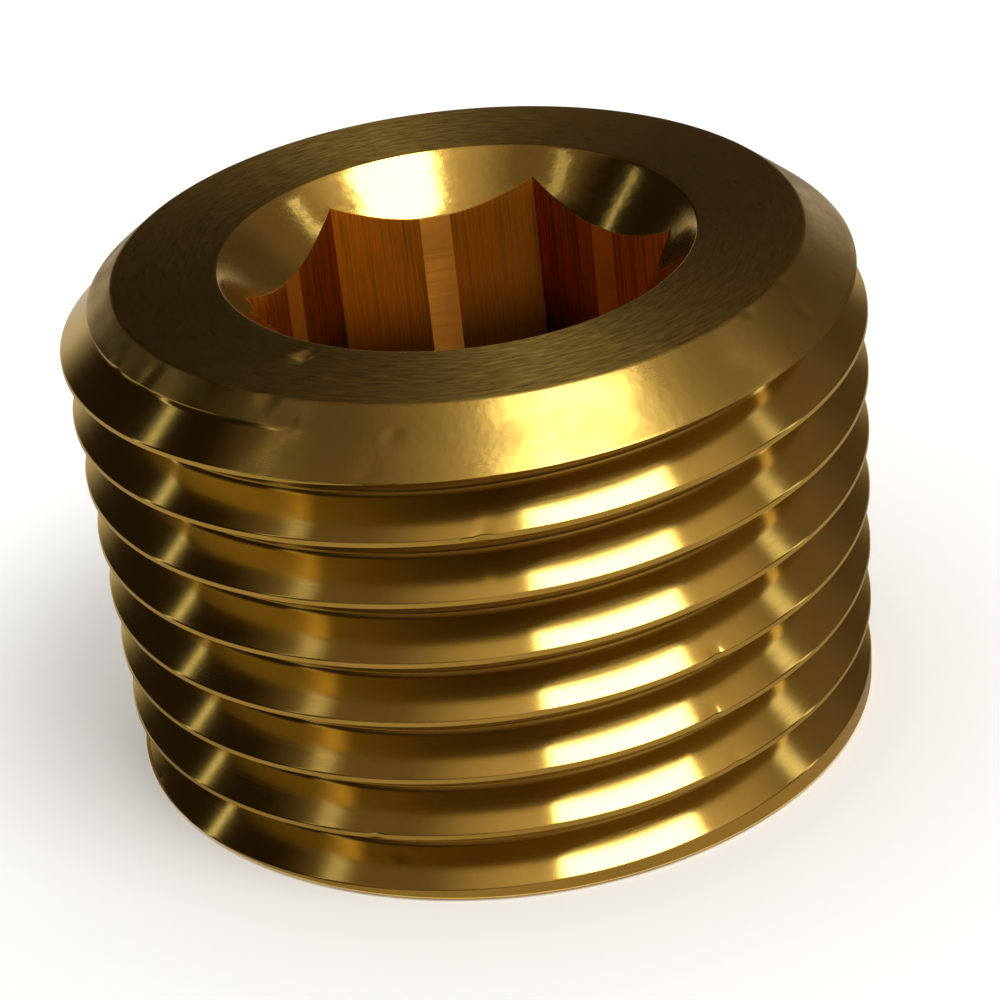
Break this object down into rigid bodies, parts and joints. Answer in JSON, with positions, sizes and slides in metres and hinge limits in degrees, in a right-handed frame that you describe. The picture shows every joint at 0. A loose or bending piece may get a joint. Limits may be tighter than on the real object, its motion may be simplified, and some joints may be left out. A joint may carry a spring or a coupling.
{
  "type": "pipe plug",
  "caption": "Tapered brass pipe plug with an outside thread and a hexagon socket in its large end, for closing a threaded pipe port.",
  "frame": {"origin": "middle of the small end face, on the plug's axis", "axes": "+Z along the axis from the small end to the socket, +X through a corner of the hexagon"},
  "size_m": [0.0172, 0.0172, 0.0111],
  "materials": {
    "turned_brass": "turned, bright with a faint brown tarnish"
  },
  "bodies": {
    "root": {"plug_body": "turned_brass"}
  },
  "joints": []
}
